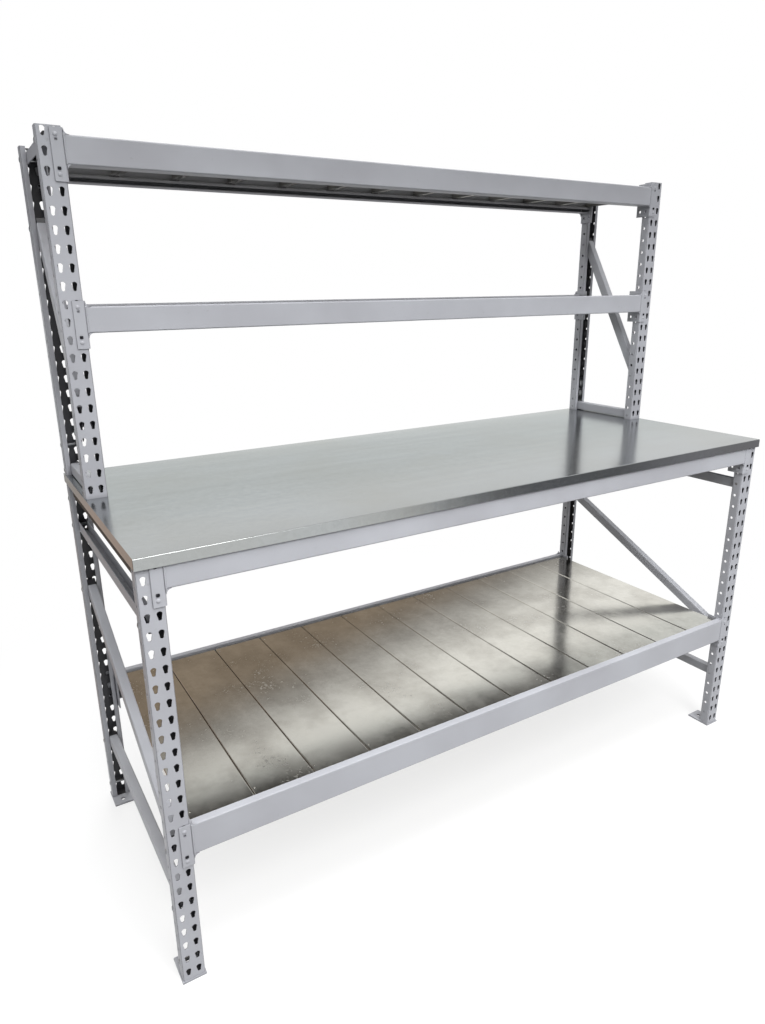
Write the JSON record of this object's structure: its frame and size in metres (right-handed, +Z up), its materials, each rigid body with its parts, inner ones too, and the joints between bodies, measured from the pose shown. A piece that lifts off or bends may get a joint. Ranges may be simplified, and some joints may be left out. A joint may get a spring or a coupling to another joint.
{
  "type": "workbench",
  "caption": "Grey steel rack workbench with slotted posts, bolted braces, step beams, a galvanised sheet worktop, a plank shelf below and narrower plank shelves above its rear",
  "frame": {"origin": "on the floor under the middle of the bench", "axes": "+X along the bench to the right seen from the front, +Y from front to rear, +Z up"},
  "size_m": [1.9356, 0.778, 1.8233],
  "materials": {
    "frame_paint": "satin",
    "galvanised_sheet": "satin",
    "zinc_fasteners": "satin",
    "lock_steel": "satin",
    "core_board": "matt"
  },
  "bodies": {
    "bench": {"lower_post_front_left": "frame_paint", "lower_post_front_right": "frame_paint", "lower_post_rear_left": "frame_paint", "lower_post_rear_right": "frame_paint", "upper_post_front_left": "frame_paint", "upper_post_front_right": "frame_paint", "upper_post_rear_left": "frame_paint", "upper_post_rear_right": "frame_paint", "foot_plate_front_left": "frame_paint", "foot_plate_front_right": "frame_paint", "foot_plate_rear_left": "frame_paint", "foot_plate_rear_right": "frame_paint", "lower_top_brace_left": "frame_paint", "lower_top_brace_right": "frame_paint", "lower_low_brace_left": "frame_paint", "lower_low_brace_right": "frame_paint", "lower_diagonal_left": "frame_paint", "lower_diagonal_right": "frame_paint", "upper_top_brace_left": "frame_paint", "upper_top_brace_right": "frame_paint", "upper_low_brace_left": "frame_paint", "upper_low_brace_right": "frame_paint", "upper_diagonal_left": "frame_paint", "upper_diagonal_right": "frame_paint", "shelf_beam_front": "frame_paint", "shelf_beam_rear": "frame_paint", "worktop_beam_front": "frame_paint", "worktop_beam_rear": "frame_paint", "middle_beam_front": "frame_paint", "middle_beam_rear": "frame_paint", "top_beam_front": "frame_paint", "top_beam_rear": "frame_paint", "shelf_connectors": "frame_paint", "worktop_connectors": "frame_paint", "middle_connectors": "frame_paint", "top_connectors": "frame_paint", "worktop_pan": "galvanised_sheet", "shelf_planks": "galvanised_sheet", "middle_planks": "galvanised_sheet", "top_planks": "galvanised_sheet", "connector_studs": "zinc_fasteners", "frame_bolts": "zinc_fasteners", "post_splices": "zinc_fasteners", "worktop_core": "core_board"},
    "shelf_lock_front_left": {"shelf_lock_front_left": "lock_steel"},
    "shelf_lock_front_right": {"shelf_lock_front_right": "lock_steel"},
    "shelf_lock_rear_left": {"shelf_lock_rear_left": "lock_steel"},
    "shelf_lock_rear_right": {"shelf_lock_rear_right": "lock_steel"},
    "worktop_lock_front_left": {"worktop_lock_front_left": "lock_steel"},
    "worktop_lock_front_right": {"worktop_lock_front_right": "lock_steel"},
    "worktop_lock_rear_left": {"worktop_lock_rear_left": "lock_steel"},
    "worktop_lock_rear_right": {"worktop_lock_rear_right": "lock_steel"},
    "middle_lock_front_left": {"middle_lock_front_left": "lock_steel"},
    "middle_lock_front_right": {"middle_lock_front_right": "lock_steel"},
    "middle_lock_rear_left": {"middle_lock_rear_left": "lock_steel"},
    "middle_lock_rear_right": {"middle_lock_rear_right": "lock_steel"},
    "top_lock_front_left": {"top_lock_front_left": "lock_steel"},
    "top_lock_front_right": {"top_lock_front_right": "lock_steel"},
    "top_lock_rear_left": {"top_lock_rear_left": "lock_steel"},
    "top_lock_rear_right": {"top_lock_rear_right": "lock_steel"}
  },
  "joints": [
    {"name": "shelf_lock_front_left_slide", "type": "slide", "parent": "bench", "child": "shelf_lock_front_left", "axis": [0, -1, 0], "range_m": [0, 0.005], "stiffness_N_per_m": 400},
    {"name": "shelf_lock_front_right_slide", "type": "slide", "parent": "bench", "child": "shelf_lock_front_right", "axis": [0, -1, 0], "range_m": [0, 0.005], "stiffness_N_per_m": 400},
    {"name": "shelf_lock_rear_left_slide", "type": "slide", "parent": "bench", "child": "shelf_lock_rear_left", "axis": [0, 1, 0], "range_m": [0, 0.005], "stiffness_N_per_m": 400},
    {"name": "shelf_lock_rear_right_slide", "type": "slide", "parent": "bench", "child": "shelf_lock_rear_right", "axis": [0, 1, 0], "range_m": [0, 0.005], "stiffness_N_per_m": 400},
    {"name": "worktop_lock_front_left_slide", "type": "slide", "parent": "bench", "child": "worktop_lock_front_left", "axis": [0, -1, 0], "range_m": [0, 0.005], "stiffness_N_per_m": 400},
    {"name": "worktop_lock_front_right_slide", "type": "slide", "parent": "bench", "child": "worktop_lock_front_right", "axis": [0, -1, 0], "range_m": [0, 0.005], "stiffness_N_per_m": 400},
    {"name": "worktop_lock_rear_left_slide", "type": "slide", "parent": "bench", "child": "worktop_lock_rear_left", "axis": [0, 1, 0], "range_m": [0, 0.005], "stiffness_N_per_m": 400},
    {"name": "worktop_lock_rear_right_slide", "type": "slide", "parent": "bench", "child": "worktop_lock_rear_right", "axis": [0, 1, 0], "range_m": [0, 0.005], "stiffness_N_per_m": 400},
    {"name": "middle_lock_front_left_slide", "type": "slide", "parent": "bench", "child": "middle_lock_front_left", "axis": [0, -1, 0], "range_m": [0, 0.005], "stiffness_N_per_m": 400},
    {"name": "middle_lock_front_right_slide", "type": "slide", "parent": "bench", "child": "middle_lock_front_right", "axis": [0, -1, 0], "range_m": [0, 0.005], "stiffness_N_per_m": 400},
    {"name": "middle_lock_rear_left_slide", "type": "slide", "parent": "bench", "child": "middle_lock_rear_left", "axis": [0, 1, 0], "range_m": [0, 0.005], "stiffness_N_per_m": 400},
    {"name": "middle_lock_rear_right_slide", "type": "slide", "parent": "bench", "child": "middle_lock_rear_right", "axis": [0, 1, 0], "range_m": [0, 0.005], "stiffness_N_per_m": 400},
    {"name": "top_lock_front_left_slide", "type": "slide", "parent": "bench", "child": "top_lock_front_left", "axis": [0, -1, 0], "range_m": [0, 0.005], "stiffness_N_per_m": 400},
    {"name": "top_lock_front_right_slide", "type": "slide", "parent": "bench", "child": "top_lock_front_right", "axis": [0, -1, 0], "range_m": [0, 0.005], "stiffness_N_per_m": 400},
    {"name": "top_lock_rear_left_slide", "type": "slide", "parent": "bench", "child": "top_lock_rear_left", "axis": [0, 1, 0], "range_m": [0, 0.005], "stiffness_N_per_m": 400},
    {"name": "top_lock_rear_right_slide", "type": "slide", "parent": "bench", "child": "top_lock_rear_right", "axis": [0, 1, 0], "range_m": [0, 0.005], "stiffness_N_per_m": 400}
  ]
}
